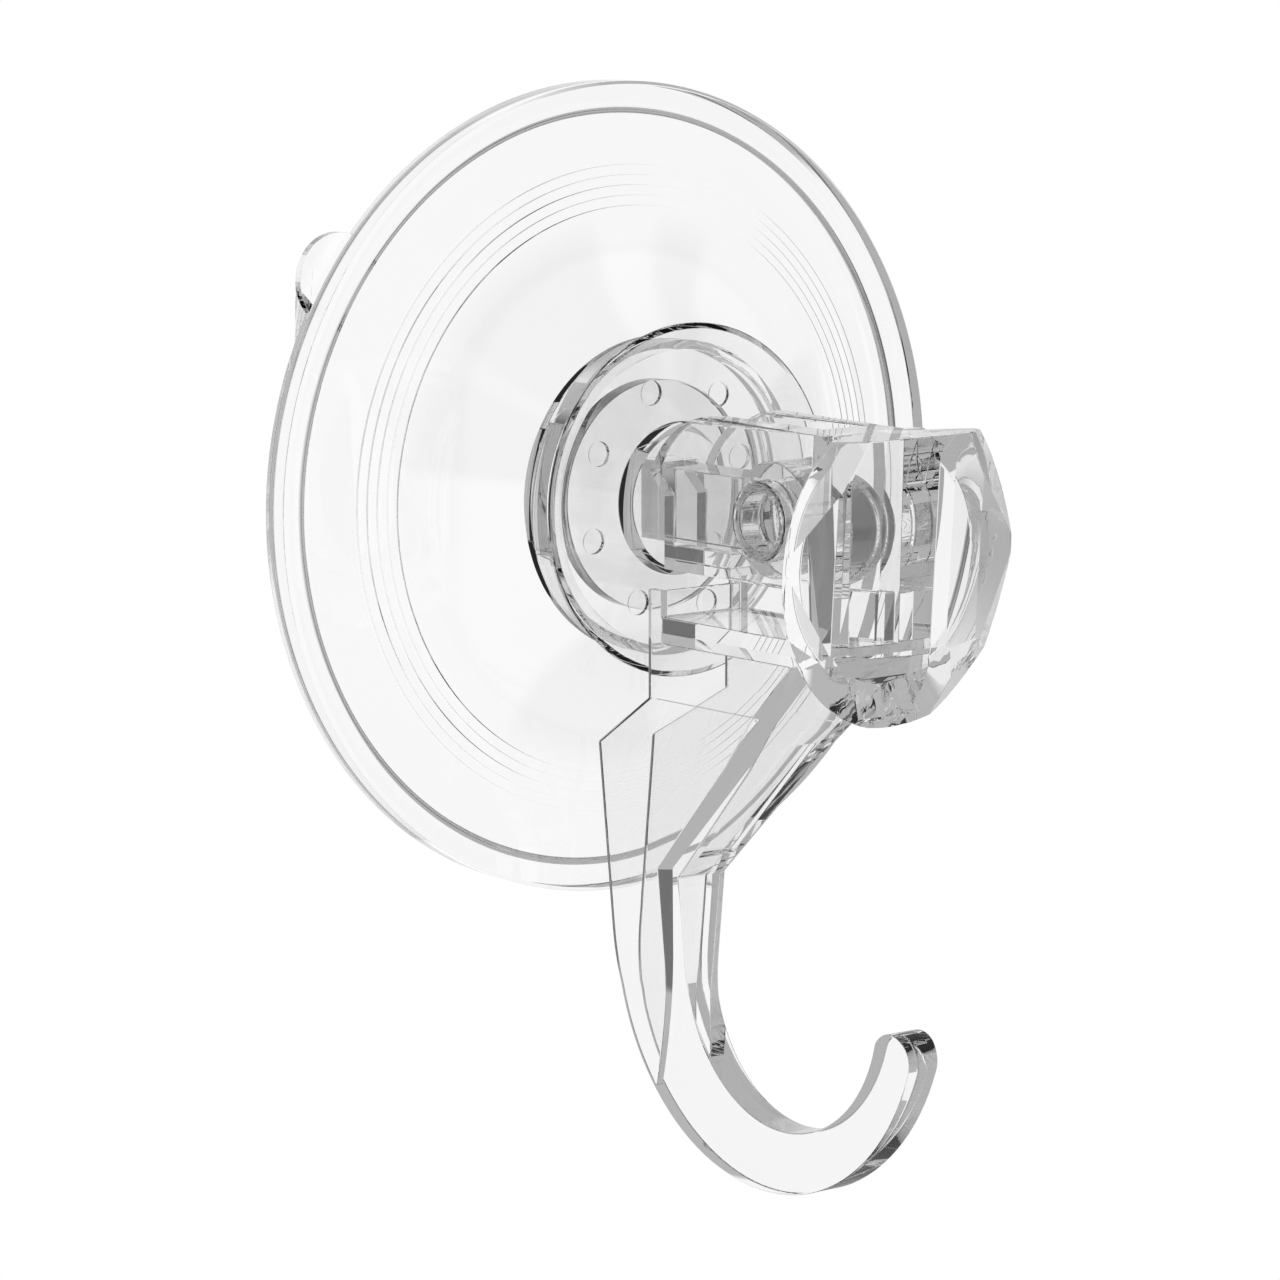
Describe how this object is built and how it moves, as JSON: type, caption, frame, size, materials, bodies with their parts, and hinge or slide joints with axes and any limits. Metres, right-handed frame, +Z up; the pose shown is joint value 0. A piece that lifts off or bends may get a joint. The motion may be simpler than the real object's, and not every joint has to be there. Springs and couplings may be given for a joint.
{
  "type": "suction cup hook",
  "caption": "Clear suction cup hook with a swing lever that draws the cup's centre out and locks, a J hook below and a faceted knob in front.",
  "frame": {"origin": "centre of the cup's sealing lip, in the plane of the wall", "axes": "+Y into the wall, the hook stands out along -Y, +Z up the wall, +X to the right seen from the front"},
  "size_m": [0.085, 0.0526, 0.1125],
  "materials": {
    "soft_clear": "glossy clear soft vinyl",
    "rigid_clear": "glossy clear moulded plastic"
  },
  "bodies": {
    "cup": {"suction_cup": "soft_clear", "pressure_washer": "rigid_clear"},
    "stud": {"core_stud": "rigid_clear", "pivot_pin": "rigid_clear"},
    "lever": {"hook_lever": "rigid_clear"}
  },
  "joints": [
    {"name": "stud_travel", "type": "slide", "parent": "cup", "child": "stud", "axis": [0, 1, 0], "range_m": [0, 0.003]},
    {"name": "lever_pivot", "type": "hinge", "parent": "stud", "child": "lever", "pos_m": [0, -0.03365, 0], "axis": [-1, 0, 0], "range_deg": [0, 90]}
  ],
  "couplings": [
    {"joint": "stud_travel", "follows": "lever_pivot", "m_per_rad": 0.0019099}
  ]
}
